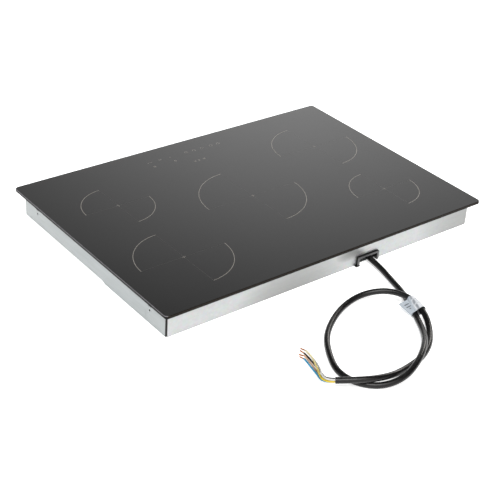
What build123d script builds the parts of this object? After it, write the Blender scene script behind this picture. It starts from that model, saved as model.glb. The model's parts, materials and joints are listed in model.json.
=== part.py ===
from build123d import *
import math
import os

# Built-in electric induction cooktop: a black glass-ceramic plate on a shallow folded sheet-steel box,
# with five coil zones, two power boards, two blowers and a free five-core mains lead.
# Millimetres, +Z up, origin at the middle of the underside. The touch panel is at the front (-Y),
# the mains lead leaves through the rear wall (+Y), and +X is on the right seen from the front.

os.makedirs("parts", exist_ok=True)

# ---- driving dimensions: glass and box ----
GLASS_WIDTH = 750.0
GLASS_DEPTH = 520.0
GLASS_THICKNESS = 4.0
GLASS_CORNER_RADIUS = 8.0
GLASS_TOP_BEVEL = 0.7
GLASS_BOTTOM_BEVEL = 0.5
TOTAL_HEIGHT = 57.0
SIDE_INSET = 12.6           # from the glass's side edge to the box's side wall
END_INSET = 16.9            # from the glass's front or rear edge to the box's wall
SHEET = 0.8                 # steel sheet of the box
BEND_RADIUS = 1.6
FLANGE_WIDTH = 12.0         # inward flange round the top of the box
BEAD_THICKNESS = 1.6
TAPE_THICKNESS = 2.0
TAPE_WIDTH = 7.0
TAPE_INSET = 0.6            # how far the tape's outer face stands in from the glass edge
FLOOR_STEP = 3.6            # the front part of the floor is this much higher than the rear part
STEP_FRONT_Y = 39.0
STEP_REAR_Y = 50.0

# ---- driving dimensions: holes and cut-outs of the box ----
CORNER_BEND_RADIUS = 2.0
SIDE_HOLE_Y = 192.7
SIDE_HOLE_Z = 27.7
SIDE_HOLE_RADIUS = 2.0
CLIP_SLOT_LENGTH = 12.0
CLIP_SLOT_HEIGHT = 7.0
CLIP_SLOT_Z = 38.8
SEAM_Y = 182.0
SEAM_TOP_Z = 24.0
SEAM_WIDTH = 0.3
OUTLET_X = -92.5
OUTLET_WIDTH = 44.0         # clear opening inside the edge trim
OUTLET_HEIGHT = 14.9
TRIM_FACE = 5.5             # width of the trim's outer face
TRIM_TOP = 4.5
TRIM_GRIP = 2.7             # how far the sheet stands in the trim's groove
TRIM_OUTWARD = 4.5
TRIM_INWARD = 2.0
TRIM_SOFTEN = 1.4           # rounding of the trim's outer face
TOE_REACH = 3.0             # how far the toe of one leg stands out to the side
TOE_PROUD = 1.5
TOE_TOP = 2.2
VENT_WIDTH = 3.6
VENT_PITCH = 7.2

# ---- driving dimensions: coils, carrier and electronics ----
ZONES = {
    "front_right": (243.0, -96.0, 140.0),
    "rear_right": (243.0, 121.0, 180.0),
    "centre": (0.0, 6.5, 210.0),
    "front_left": (-243.0, -96.0, 180.0),
    "rear_left": (-243.0, 121.0, 140.0),
}
COIL_MARGIN = 3.0           # the winding's outer radius is this much inside the printed zone
COIL_INNER_RADIUS = 20.0
STRAND = 3.0                # litz bundle diameter
MICA_THICKNESS = 1.6
FORMER_THICKNESS = 2.0
FERRITE_HEIGHT = 4.5
FERRITE_WIDTH = 12.0
FERRITES_PER_COIL = 8
SENSOR_RADIUS = 6.0
CUSHION_RADIUS = 5.0
CARRIER_THICKNESS = 1.2
CARRIER_TOP = 38.6
CARRIER_HALF_WIDTH = 345.0
CARRIER_FRONT_Y = -190.0
CARRIER_REAR_Y = 228.0
BOARD_THICKNESS = 1.6
BOARD_Z = 10.0
POWER_BOARD_X = (90.0, 340.0)
POWER_BOARD_Y = (-150.0, 40.0)
FILTER_BOARD_X = (-50.0, 80.0)
FILTER_BOARD_Y = (80.0, 220.0)
BLOWER_X = 170.0
BLOWER_Y = 120.0
BLOWER_SIZE = (96.0, 100.0, 25.0)
WHEEL_RADIUS = 36.0
WHEEL_BLADES = 24
SHAFT_RADIUS = 2.0
SHAFT_CLEARANCE = 0.05
CONTROL_X = (-95.0, 115.0)
CONTROL_Y = (-228.0, -160.0)
TOUCH_SPOTS = [(95.0, -212.0), (70.0, -212.0), (45.5, -212.0), (5.0, -212.0), (-14.0, -212.0),
               (-35.0, -212.0), (-56.0, -212.0), (-76.0, -212.0), (95.0, -192.0), (45.5, -192.0)]

# ---- driving dimensions: mains lead ----
CORD_DIAMETER = 11.0
CORE_DIAMETER = 3.2
COPPER_DIAMETER = 2.2
COPPER_START = 0.02         # gap between a sleeve's end face and its copper
COPPER_STRAIGHT = 2.5
COPPER_BEND_RADIUS = 2.0
# Centre line of the lead, from the clamp inside the box, out of the rear wall and round its loose loop
# on the floor: it passes under itself at the far side, over itself at the near side, and its bare end
# lies on the loop's outer turn.
CORD_ROUTE = [
    (-100, 222, 9), (-96, 247, 9), (-90, 285, 8.5), (-81, 326, 5.5), (-70, 367, 5.5), (-50.5, 405.5, 5.5),
    (-33, 443, 5.5), (-9.5, 480.5, 9), (23, 514, 19), (63, 541, 19), (107.5, 556, 11.5), (149, 548, 5.5),
    (179, 519, 5.5), (186, 478, 5.5), (165, 433, 5.5), (136, 392, 5.5), (94, 360, 5.5), (47, 337, 6),
    (2, 334, 12), (-37, 356, 19), (-57, 396.5, 19), (-50.5, 440.5, 13), (-31, 473.5, 5.5), (0, 505, 5.5),
    (39, 526, 5.5), (86, 534, 5.5), (130, 541, 13.5), (179, 530, 19.5), (212, 502, 15),
]
# Centre lines of the five cores, from the end of the sheath down to the floor.
CORE_ROUTES = {
    "core_earth": [(213.8, 504.2, 14.1), (220.5, 498.5, 13.1), (224, 489.5, 12.3), (223.5, 479, 11.7),
                   (215.5, 465.5, 10.7), (208.5, 452, 9.4), (201.5, 438, 8.2), (195.5, 425, 7),
                   (192.2, 413.5, 5.5), (189.5, 402.5, 4)],
    "core_blue": [(212, 502, 12), (218, 497, 10.8), (222, 489, 8.8), (223.5, 479, 7.4),
                  (218, 464.5, 6.2), (213.5, 450, 4), (209.5, 438, 2), (206.5, 427, 2),
                  (205, 417, 2)],
    "core_grey": [(213.4, 503.2, 17.3), (219.5, 498, 16.6), (223, 489, 15.8), (221, 479.5, 15),
                  (212, 467, 12), (204, 453.5, 7.7), (196.5, 439.5, 3.8), (192, 427.5, 1.9),
                  (190, 416, 1.9)],
    "core_black": [(211.2, 500.4, 17.3), (216.5, 496, 16.5), (219.5, 488.5, 15), (218, 480.5, 12.4),
                   (210.5, 467.5, 8), (205, 453, 3.8), (200.7, 438, 2.3), (197, 421.5, 2),
                   (194.9, 405.5, 2)],
    "core_brown": [(210.2, 499.8, 14.1), (215.5, 495.5, 13), (218.5, 488.5, 11), (219.3, 480, 8.5),
                   (214, 466, 4.8), (209, 451.5, 2.3), (204.8, 437, 2), (201.4, 423.5, 2),
                   (198.9, 410.5, 2)],
}
# Tip of the bare conductor that stands out of each core's stripped end.
COPPER_TIPS = {
    "core_earth": (190.9, 390.5, 1.5), "core_blue": (207.1, 407.4, 1.5), "core_grey": (188.6, 406, 1.4),
    "core_black": (195.2, 394.5, 1.5), "core_brown": (204.4, 402.4, 1.5),
}
# Sections across the wrap-round label, each on an upright plane square to LABEL_AXIS: the plane's distance
# from the origin, the centres of the two strands it encloses there, then the flap's root and tip. Points on
# a plane are (across, up).
LABEL_AXIS = (0.3, 0.954)
LABEL_SECTIONS = [
    (364.9, (-171.0, 5.5), (-171.7, 18.1), (-164.7, 16.9), (-148.4, 10.2)),
    (380.8, (-168.7, 5.5), (-176.4, 16.3), (-167.2, 15.5), (-152.0, 9.1)),
    (396.7, (-166.5, 5.5), (-178.5, 14.1), (-168.4, 15.5), (-155.5, 8.0)),
]
LABEL_THICKNESS = 0.5
LABEL_GAP = 1.3             # clearance round a strand, measured in a section
LABEL_LOWEST = 0.2          # the wrap is open where the lower strand rests on the floor
TERMINAL_FAN = (162, 234, 90, 306, 18)      # where each core leaves the sheath, left to right
CORE_RING = 3.0
PAN_SCREW_RADIUS = 1.7
PAN_SCREW_LENGTH = 7.8
CLAMP_SCREW_LEVEL = 9.0

# ---- levels worked out from the dimensions above ----
glass_bottom = TOTAL_HEIGHT - GLASS_THICKNESS
pan_top = glass_bottom - BEAD_THICKNESS
half_x = GLASS_WIDTH / 2 - SIDE_INSET
half_y = GLASS_DEPTH / 2 - END_INSET
front_floor = FLOOR_STEP + SHEET
winding_top = glass_bottom - MICA_THICKNESS
winding_bottom = winding_top - 1.5 * STRAND
former_bottom = winding_bottom - FORMER_THICKNESS
ferrite_bottom = former_bottom - FERRITE_HEIGHT
carrier_bottom = CARRIER_TOP - CARRIER_THICKNESS
board_top = BOARD_Z + BOARD_THICKNESS
cord_radius = CORD_DIAMETER / 2


# ---- shared shapes ----
def block(x, y, z):
    """Box between two corners, each range given as (low, high)."""
    middle = Pos((x[0] + x[1]) / 2, (y[0] + y[1]) / 2, (z[0] + z[1]) / 2)
    return middle * Box(x[1] - x[0], y[1] - y[0], z[1] - z[0])


def post(x, y, z, radius, hole=0.0):
    """Upright cylinder between two levels, with a through hole if hole is more than 0."""
    place = Pos(x, y, (z[0] + z[1]) / 2)
    body = place * Cylinder(radius, z[1] - z[0])
    if hole:
        body -= place * Cylinder(hole, z[1] - z[0])
    return body


def loop_strip(outer_x, outer_y, width, z, radius):
    """Rectangular ring lying flat: half sizes of its outer edge, strip width and its two levels."""
    outer = RectangleRounded(2 * outer_x, 2 * outer_y, radius)
    inner = Rectangle(2 * (outer_x - width), 2 * (outer_y - width))
    return Pos(0, 0, z[0]) * extrude(outer - inner, z[1] - z[0])


def corner_radii(points):
    """Largest radius each corner of a route allows: 0.45 of its shorter run over the tangent of half the turn."""
    vectors = [Vector(*p) for p in points]
    radii = []
    for before, here, after in zip(vectors, vectors[1:], vectors[2:]):
        first, second = here - before, after - here
        half_turn = math.radians(first.get_angle(second) / 2)
        radii.append(0.45 * min(first.length, second.length) / math.tan(half_turn))
    return radii


def tube(name, points, diameter):
    """Round tube along straight runs joined by tangent arcs."""
    radii = corner_radii(points)
    path = FilletPolyline(*points, radius=radii)
    section = Plane(origin=path @ 0, z_dir=path % 0) * Circle(diameter / 2)
    body = sweep(section, path=path)
    ideal = math.pi * diameter ** 2 / 4 * path.length
    print(f"{name}: length {path.length:.0f}, least radius {min(radii):.0f}, "
          f"radii {[round(r) for r in radii]}, volume over ideal {body.volume / ideal:.4f}")
    return body


def mirrored_x(shape):
    """The same shape on the other side of the middle plane."""
    return mirror(shape, about=Plane.YZ)


# ---- glass and its joints ----
def glass_plate():
    plate = extrude(RectangleRounded(GLASS_WIDTH, GLASS_DEPTH, GLASS_CORNER_RADIUS), GLASS_THICKNESS)
    plate = chamfer(plate.faces().sort_by(Axis.Z)[-1].edges(), GLASS_TOP_BEVEL)
    plate = chamfer(plate.faces().sort_by(Axis.Z)[0].edges(), GLASS_BOTTOM_BEVEL)
    return Pos(0, 0, glass_bottom) * plate


def glass_bead():
    inset = 2.0
    return loop_strip(half_x - inset, half_y - inset, 8.0, (pan_top, glass_bottom), 3.0)


def seal_tape():
    outer_x = GLASS_WIDTH / 2 - TAPE_INSET
    outer_y = GLASS_DEPTH / 2 - TAPE_INSET
    corner = 5.0
    return loop_strip(outer_x, outer_y, TAPE_WIDTH, (glass_bottom - TAPE_THICKNESS, glass_bottom), corner)


# ---- sheet-steel box ----
def stepped_block(inset, radius):
    """Solid block of the box's outline moved in by inset, with the step in its underside and rolled edges."""
    x = half_x - inset
    y = half_y - inset
    low_front = FLOOR_STEP + inset
    outline = Polyline(
        (-y, low_front), (STEP_FRONT_Y, low_front), (STEP_REAR_Y, inset),
        (y, inset), (y, pan_top - inset), (-y, pan_top - inset), close=True,
    )
    body = extrude(Plane.YZ * make_face(outline), x, both=True)
    rim = [
        edge for edge in body.edges()
        if abs(edge.tangent_at(0.5).Z) < 0.9
        and (abs(abs(edge.center().X) - x) < 0.01 or abs(abs(edge.center().Y) - y) < 0.01)
    ]
    return fillet(rim, radius)


def corner_bends(floor_top):
    """The two turned-in wall ends at the (+X, +Y) corner, which leave the open corner slit between them."""
    radius = CORNER_BEND_RADIUS
    ring = Circle(radius) - Circle(radius - SHEET)
    quadrant = Pos(radius / 2, radius / 2) * Rectangle(radius, radius)
    bend = ring & quadrant
    side_x, side_y = half_x - radius, half_y - 4.2
    flange_length = 8.0
    flange = Pos(side_x - flange_length / 2, side_y + radius - SHEET / 2) * Rectangle(flange_length, SHEET)
    side = Pos(side_x, side_y) * bend + flange
    rear = Pos(half_x - 4.5, half_y - radius) * bend
    low = floor_top + 0.2
    high = pan_top - SHEET - 0.6
    return Pos(0, 0, low) * extrude(side, high - low) + Pos(0, 0, low) * extrude(rear, high - low)


def vent_rows(x, y, count, length):
    """Row of parallel round-ended slots through the floor."""
    slot = extrude(SlotOverall(length, VENT_WIDTH, rotation=90), 12.0)
    first = x - VENT_PITCH * (count - 1) / 2
    return [Pos(first + VENT_PITCH * i, y, -4.0) * slot for i in range(count)]


def pressed_foot(x, y):
    """Dimple pressed down from the raised front floor to the level of the rear floor."""
    shell = Pos(x, y, FLOOR_STEP / 2 + SHEET / 2) * Cone(8.0, 12.0, FLOOR_STEP + SHEET)
    hollow = Pos(x, y, SHEET + FLOOR_STEP / 2 + 0.1) * Cone(7.2, 11.2, FLOOR_STEP + 0.2)
    return shell, hollow


def base_pan():
    pan = stepped_block(0.0, BEND_RADIUS) - stepped_block(SHEET, BEND_RADIUS - SHEET)
    pan -= block((-half_x + FLANGE_WIDTH, half_x - FLANGE_WIDTH), (-half_y + FLANGE_WIDTH, half_y - FLANGE_WIDTH),
                 (pan_top - 2, pan_top + 2))
    for side in (1, -1):
        for end in (1, -1):
            x = sorted((side * (half_x - 4.5), side * (half_x + 1)))
            y = sorted((end * (half_y - 4.2), end * (half_y + 1)))
            pan -= block(x, y, (-1, pan_top + 1))
    rear = corner_bends(SHEET)
    front = mirror(corner_bends(front_floor), about=Plane.XZ)
    for bends in (rear, front):
        pan += bends + mirrored_x(bends)
    for x in (-300.0, 300.0):
        shell, hollow = pressed_foot(x, -215.0)
        pan = pan + shell - hollow
    return pan - pan_cutouts()


def pan_cutouts():
    """Everything that is punched out of the box."""
    cuts = []
    cut_half = OUTLET_WIDTH / 2 + TRIM_FACE - TRIM_GRIP
    cut_top = OUTLET_HEIGHT + TRIM_TOP - TRIM_GRIP
    cuts.append(block((OUTLET_X - cut_half, OUTLET_X + cut_half), (half_y - 2, half_y + 1), (-1, cut_top)))
    floor_half = OUTLET_WIDTH / 2 + TRIM_FACE + 1
    cuts.append(block((OUTLET_X - floor_half, OUTLET_X + floor_half), (half_y - 4.6, half_y - SHEET), (-1, 2)))
    for side in (1, -1):
        for end in (1, -1):
            hole = Rot(0, 90, 0) * Cylinder(SIDE_HOLE_RADIUS, 4)
            cuts.append(Pos(side * half_x, end * SIDE_HOLE_Y, SIDE_HOLE_Z) * hole)
            slot = Plane.YZ * SlotOverall(CLIP_SLOT_LENGTH, CLIP_SLOT_HEIGHT)
            cuts.append(Pos(side * half_x, end * SIDE_HOLE_Y, CLIP_SLOT_Z) * extrude(slot, 2, both=True))
        seam = block((half_x - 2, half_x + 1), (SEAM_Y, SEAM_Y + SEAM_WIDTH), (BEND_RADIUS, SEAM_TOP_Z))
        cuts.append(seam if side > 0 else mirrored_x(seam))
        cuts += vent_rows(side * BLOWER_X, BLOWER_Y, 9, 50.0)
        cuts += vent_rows(side * 215.0, -190.0, 20, 36.0)
    return cuts


def cable_grommet():
    """Inverted U of black plastic that grips the edge of the cable cut-out."""
    low = 0.3
    inside = block((OUTLET_X - OUTLET_WIDTH / 2, OUTLET_X + OUTLET_WIDTH / 2), (half_y - 9, half_y + 12),
                   (-1, OUTLET_HEIGHT))
    inside = fillet(inside.edges().filter_by(Axis.Y).sort_by(Axis.Z)[-2:], 2.0)

    def layer(grip, y):
        half = OUTLET_WIDTH / 2 + TRIM_FACE - grip
        top = OUTLET_HEIGHT + TRIM_TOP - grip
        body = block((OUTLET_X - half, OUTLET_X + half), y, (low, top))
        return fillet(body.edges().filter_by(Axis.Y).sort_by(Axis.Z)[-2:], 3.0)

    gap = 0.1
    outer = layer(0.0, (half_y + gap, half_y + TRIM_OUTWARD))
    outer = fillet(outer.faces().sort_by(Axis.Y)[-1].edges().sort_by(Axis.Z)[1:], TRIM_SOFTEN)
    web = layer(TRIM_GRIP + gap, (half_y - SHEET - gap, half_y + gap))
    inner = layer(0.0, (half_y - SHEET - gap - TRIM_INWARD, half_y - SHEET - gap))
    edge = OUTLET_X + OUTLET_WIDTH / 2 + TRIM_FACE
    toe_end = half_y + TRIM_OUTWARD + TOE_PROUD
    toe = block((edge - TRIM_FACE, edge + TOE_REACH), (half_y + gap, toe_end), (low, TOE_TOP))
    return outer + web + inner + toe - inside


# ---- coil zones ----
def coil_radius(zone):
    return ZONES[zone][2] / 2 - COIL_MARGIN


def mica_disc(zone):
    x, y, _ = ZONES[zone]
    return post(x, y, (winding_top, glass_bottom), coil_radius(zone) + 1, SENSOR_RADIUS + 1.5)


def coil_winding(zone):
    """Flat spiral of litz strand, made as one turned body with a ridge for each turn."""
    x, y, _ = ZONES[zone]
    outer = coil_radius(zone)
    turns = int((outer - COIL_INNER_RADIUS) / STRAND)
    ridge_bottom = winding_top - STRAND / 4
    start = outer - turns * STRAND
    points = [(start + STRAND * i, ridge_bottom) for i in range(turns + 1)]
    ridges = [
        ThreePointArc(a, ((a[0] + b[0]) / 2, winding_top), b) for a, b in zip(points, points[1:])
    ]
    sides = Polyline(points[-1], (outer, winding_bottom), (start, winding_bottom), points[0])
    profile = make_face([*ridges, *sides.edges()])
    return Pos(x, y, 0) * revolve(Plane.XZ * profile, Axis.Z)


def coil_former(zone):
    """Plastic disc with spokes, a hub for the sensor and a rim."""
    x, y, _ = ZONES[zone]
    outer = coil_radius(zone)
    level = (former_bottom, winding_bottom)
    disc = post(0, 0, level, outer, SENSOR_RADIUS - 2)
    window_inner, window_outer = COIL_INNER_RADIUS + 4, outer - 8
    spacing = 360 / FERRITES_PER_COIL
    for i in range(FERRITES_PER_COIL):
        window = block((window_inner, window_outer), (-3.5, 3.5), (level[0] - 1, level[1] + 1))
        disc -= Rot(0, 0, spacing * (i + 0.5)) * window
    return Pos(x, y, 0) * disc


def coil_ferrites(zone):
    x, y, _ = ZONES[zone]
    reach = (COIL_INNER_RADIUS, coil_radius(zone) - 3)
    half = FERRITE_WIDTH / 2
    bar = block(reach, (-half, half), (ferrite_bottom, former_bottom))
    spacing = 360 / FERRITES_PER_COIL
    return Compound([Pos(x, y, 0) * Rot(0, 0, spacing * i) * bar for i in range(FERRITES_PER_COIL)])


def temperature_sensors():
    """One sensor in the middle of each zone, standing on the former's hub against the glass."""
    return Compound([
        post(x, y, (winding_bottom, glass_bottom), SENSOR_RADIUS) for x, y, _ in ZONES.values()
    ])


def coil_cushions():
    """Silicone bushes between the carrier plate and each former, between two ferrite bars."""
    cushions = []
    for zone, (x, y, _) in ZONES.items():
        ring = coil_radius(zone) - 5.5
        for k in (0, 3, 5):
            angle = math.radians(360 / FERRITES_PER_COIL * (k + 0.5))
            cushions.append(post(x + ring * math.cos(angle), y + ring * math.sin(angle),
                                 (CARRIER_TOP, former_bottom), CUSHION_RADIUS, 2.0))
    return Compound(cushions)


LEAD_DROPS = {
    "front_right": ((0, 1), -19.0),
    "rear_right": ((0, -1), 24.0),
    "centre": ((1, 0), 112.0),
    "front_left": ((0, 1), 1.0),
    "rear_left": ((0, -1), 24.0),
}


def lead_drop_point(zone):
    """Where a zone's pair of leads goes down through the carrier plate."""
    x, y, _ = ZONES[zone]
    (along_x, _), drop = LEAD_DROPS[zone]
    return (drop, y) if along_x else (x, drop)


def coil_leads():
    """Two leads from each winding's rim, out level and then down to the power board."""
    leads = []
    level = winding_top - STRAND
    for zone, (x, y, _) in ZONES.items():
        (dx, dy), _ = LEAD_DROPS[zone]
        drop_x, drop_y = lead_drop_point(zone)
        rim = coil_radius(zone) + 0.3
        for offset in (-4.0, 4.0):
            start = (x + dx * rim + dy * offset, y + dy * rim + dx * offset, level)
            corner = (drop_x + abs(dy) * offset * dy, drop_y + dx * offset, level)
            end = (corner[0], corner[1], board_top)
            path = FilletPolyline(start, corner, end, radius=3.0)
            section = Plane(origin=path @ 0, z_dir=path % 0) * Circle(1.2)
            leads.append(sweep(section, path=path))
    return Compound(leads)


# ---- carrier ----
def bracket_places():
    return [(side * 336.0, y, floor) for side in (1, -1) for y, floor in ((-170.0, front_floor), (212.0, SHEET))]


def carrier_plate():
    plate = block((-CARRIER_HALF_WIDTH, CARRIER_HALF_WIDTH), (CARRIER_FRONT_Y, CARRIER_REAR_Y),
                  (carrier_bottom, CARRIER_TOP))
    plate -= block((CONTROL_X[0] - 12, CONTROL_X[1] + 12), (CARRIER_FRONT_Y - 1, CONTROL_Y[1] + 8), (30, 45))
    for zone, (x, y, _) in ZONES.items():
        plate -= post(x, y, (30, 45), COIL_INNER_RADIUS - 6)
        drop_x, drop_y = lead_drop_point(zone)
        plate -= block((drop_x - 7, drop_x + 7), (drop_y - 7, drop_y + 7), (30, 45))
    for x, y, _ in bracket_places():
        plate -= post(x, y, (30, 45), 2.2)
    return plate


def carrier_brackets():
    """Z-shaped legs of folded sheet that hold the carrier plate up off the floor."""
    legs = []
    thick, half_width, reach = 1.2, 12.0, 9.0
    for x, y, floor in bracket_places():
        outward = 1 if x > 0 else -1
        near, far = sorted((x + outward * reach, x + outward * (reach - thick)))
        leg = block((near, far), (y - half_width, y + half_width), (floor, carrier_bottom))
        head = sorted((x - outward * reach, x + outward * reach))
        foot = sorted((x + outward * (reach - thick), x + outward * (reach + 14)))
        leg += block(head, (y - half_width, y + half_width), (carrier_bottom - thick, carrier_bottom))
        leg += block(foot, (y - half_width, y + half_width), (floor, floor + thick))
        leg -= post(x, y, (30, 40), 1.8)
        legs.append(leg)
    return Compound(legs)


def pan_screw(x, y, z):
    """Pan-head machine screw with a cross recess, its head standing on level z."""
    radius, length = PAN_SCREW_RADIUS, PAN_SCREW_LENGTH
    head = post(x, y, (z, z + radius), radius * 2)
    head = fillet(head.edges().sort_by(Axis.Z)[-1], radius * 0.5)
    arm, depth = radius * 1.2, radius * 0.6
    for size in ((arm, 0.35 * radius), (0.35 * radius, arm)):
        head -= block((x - size[0], x + size[0]), (y - size[1], y + size[1]), (z + radius - depth, z + radius + 1))
    return head + post(x, y, (z - length, z), radius)


# ---- power electronics ----
def power_board_right():
    board = block(POWER_BOARD_X, POWER_BOARD_Y, (BOARD_Z, board_top))
    return board - block((POWER_BOARD_X[1] - 14, POWER_BOARD_X[1] + 1), (POWER_BOARD_Y[0] - 1, POWER_BOARD_Y[0] + 30),
                         (BOARD_Z - 1, board_top + 1))


def heatsink_right():
    """Extruded aluminium block with upright fins along the air stream."""
    x = (BLOWER_X - 30, BLOWER_X + 30)
    y = (-120.0, 32.0)
    base_thickness, height, fins = 4.0, 22.0, 10
    body = block(x, y, (board_top, board_top + base_thickness))
    pitch = (x[1] - x[0] - 1.6) / (fins - 1)
    for i in range(fins):
        left = x[0] + pitch * i
        body += block((left, left + 1.6), y, (board_top, board_top + height))
    return body


def power_transistors():
    """Three switching transistors clamped to the side of each heatsink."""
    bodies = []
    for y in (-100.0, -60.0, -20.0):
        case = block((BLOWER_X + 30, BLOWER_X + 35), (y - 8, y + 8), (board_top + 1, board_top + 21))
        case -= Pos(BLOWER_X + 32.5, y, board_top + 16) * Rot(0, 90, 0) * Cylinder(1.8, 6)
        bodies += [case, mirrored_x(case)]
    return Compound(bodies)


def film_capacitors():
    places = [(side * 286.0, y) for side in (1, -1) for y in (-101.0, -51.0)] + [(38.0, 180.0), (38.0, 205.0)]
    bodies = []
    for x, y in places:
        case = block((x - 16, x + 16), (y - 9, y + 9), (board_top, board_top + 22))
        bodies.append(fillet(case.edges().filter_by(Axis.Z), 1.0))
    return Compound(bodies)


def blower_housing_right():
    """Scroll case open underneath over the vents and open to the front towards the heatsink."""
    width, depth, height = BLOWER_SIZE
    low = SHEET + 0.4
    wall, cavity = 2.0, 41.0
    body = block((BLOWER_X - width / 2, BLOWER_X + width / 2), (BLOWER_Y - depth / 2, BLOWER_Y + depth / 2),
                 (low, low + height))
    body = fillet(body.edges().filter_by(Axis.Z), 6.0)
    inside = (low + wall, low + height - wall)
    body -= post(BLOWER_X, BLOWER_Y, inside, cavity)
    body -= block((BLOWER_X - 34, BLOWER_X + 34), (BLOWER_Y - depth / 2 - 1, BLOWER_Y), inside)
    body -= post(BLOWER_X, BLOWER_Y, (low - 1, low + wall + 1), 27.0)
    bore = SHAFT_RADIUS + SHAFT_CLEARANCE
    motor = post(BLOWER_X, BLOWER_Y, (inside[1] - 8, inside[1] + 1), 9.0)
    return body + motor - post(BLOWER_X, BLOWER_Y, (inside[1] - 9, inside[1] + 0.5), bore)


def blower_rotor_right():
    """Radial wheel: hub cup round the motor, back plate, blades, front ring and shaft."""
    low = SHEET + 0.4
    top = low + BLOWER_SIZE[2] - 2.0
    plate = (top - 10.2, top - 9.0)
    wheel = post(BLOWER_X, BLOWER_Y, plate, WHEEL_RADIUS)
    wheel += post(BLOWER_X, BLOWER_Y, (low + 3.5, low + 4.7), WHEEL_RADIUS, WHEEL_RADIUS - 8)
    for i in range(WHEEL_BLADES):
        blade = block((WHEEL_RADIUS - 7.5, WHEEL_RADIUS - 0.5), (-0.5, 0.5), (low + 4.2, plate[0] + 0.5))
        wheel += Pos(BLOWER_X, BLOWER_Y, 0) * Rot(0, 0, 360 / WHEEL_BLADES * i) * blade
    wheel += post(BLOWER_X, BLOWER_Y, (plate[0] - 6, plate[0]), 8.0)
    return wheel + post(BLOWER_X, BLOWER_Y, (plate[1], top - 0.2), SHAFT_RADIUS)


def board_standoffs():
    """Plastic posts under the corners of the three boards."""
    posts = []
    inset = 6.0
    x_right = (POWER_BOARD_X[0] + inset, POWER_BOARD_X[1] - inset - 14)
    for x in x_right:
        for y in (POWER_BOARD_Y[0] + inset, 30.0):
            for side in (1, -1):
                posts.append(post(side * x, y, (front_floor, BOARD_Z), 3.5))
    for x in (FILTER_BOARD_X[0] + inset, FILTER_BOARD_X[1] - inset):
        for y in (FILTER_BOARD_Y[0] + inset, FILTER_BOARD_Y[1] - inset):
            posts.append(post(x, y, (SHEET, BOARD_Z), 3.5))
    return Compound(posts)


def filter_board():
    return block(FILTER_BOARD_X, FILTER_BOARD_Y, (BOARD_Z, board_top))


def filter_choke():
    """Toroid choke lying on the filter board."""
    minor = 6.5
    return Pos(-10, 125, board_top + minor) * Torus(15.0, minor)


# ---- control panel under the glass ----
def control_board():
    return block(CONTROL_X, CONTROL_Y, (45.4, 47.0))


def control_carrier():
    """Plastic tray that clips to the carrier plate and holds the control board against the glass."""
    wall = 2.0
    x = (CONTROL_X[0] - wall - 0.3, CONTROL_X[1] + wall + 0.3)
    y = (CONTROL_Y[0] - wall - 0.3, CONTROL_Y[1] + wall + 0.3)
    tray = block(x, y, (36.0, 50.0))
    tray -= block((CONTROL_X[0] - 0.3, CONTROL_X[1] + 0.3), (CONTROL_Y[0] - 0.3, CONTROL_Y[1] + 0.3), (38.0, 51.0))
    for px in (CONTROL_X[0] + 8, CONTROL_X[1] - 8):
        for py in (CONTROL_Y[0] + 8, CONTROL_Y[1] - 8):
            tray += post(px, py, (37.5, 45.4), 3.0)
    return tray


def touch_springs():
    """Conductive rings from the control board to the underside of the glass, one under each touch spot."""
    return Compound([post(x, y, (47.0, glass_bottom), 4.0, 3.0) for x, y in TOUCH_SPOTS])


def display_module():
    return block((-20.0, 25.0), (-178.0, -166.0), (47.0, 51.5))


# ---- mains connection ----
def terminal_block():
    """Five-way screw terminal block with entries at the rear and screw wells on top."""
    body = block((OUTLET_X - 30, OUTLET_X + 30), (174, 192), (SHEET, 19))
    body = fillet(body.edges().filter_by(Axis.Z), 1.5)
    for x in terminal_places():
        body -= Pos(x, 188, 9.5) * Rot(90, 0, 0) * Cylinder(2.1, 16)
        body -= post(x, 183, (12.5, 20), 2.8)
    return body


def terminal_places():
    return [OUTLET_X + 11.0 * (i - 2) for i in range(5)]


def terminal_screws():
    screws = []
    for x in terminal_places():
        screw = post(x, 183, (13.0, 17.0), 2.4)
        screws.append(screw - block((x - 2, x + 2), (182.6, 183.4), (16.0, 18.0)))
    return Compound(screws)


def terminal_wires():
    """Stripped tails of the five cores, from the sheath's inner end to the terminal block."""
    wires = []
    x, y, z = CORD_ROUTE[0]
    for entry, degrees in zip(terminal_places(), TERMINAL_FAN):
        start_x = x + CORE_RING * math.cos(math.radians(degrees))
        start_z = z + CORE_RING * math.sin(math.radians(degrees))
        points = [(start_x, y - 1, start_z), (start_x, y - 8, start_z), (entry, 200, 9.5), (entry, 184, 9.5)]
        path = FilletPolyline(*points, radius=5.0)
        section = Plane(origin=path @ 0, z_dir=path % 0) * Circle(1.4)
        wires.append(sweep(section, path=path))
    return Compound(wires)


def cord_direction():
    start, after = CORD_ROUTE[0], CORD_ROUTE[1]
    return math.degrees(math.atan2(after[0] - start[0], after[1] - start[1]))


def cable_clamp():
    """Moulded saddle and strap round the lead, screwed to the floor."""
    x, y, z = CORD_ROUTE[0]
    body = block((x - 20, x + 22), (y + 3, y + 12), (SHEET, z + cord_radius + 4))
    body = fillet(body.edges().filter_by(Axis.Y).sort_by(Axis.Z)[-2:], 4.0)
    body -= Pos(x, y, z) * Rot(0, 0, -cord_direction()) * Rot(90, 0, 0) * Cylinder(cord_radius + 0.1, 60)
    for screw_x in clamp_screw_places():
        body -= post(screw_x, y + 7.5, (0, 30), 1.9)
        body -= post(screw_x, y + 7.5, (CLAMP_SCREW_LEVEL, 30), 4.0)
    return body


def clamp_screw_places():
    x = CORD_ROUTE[0][0]
    return (x - 12.5, x + 14.5)


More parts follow.
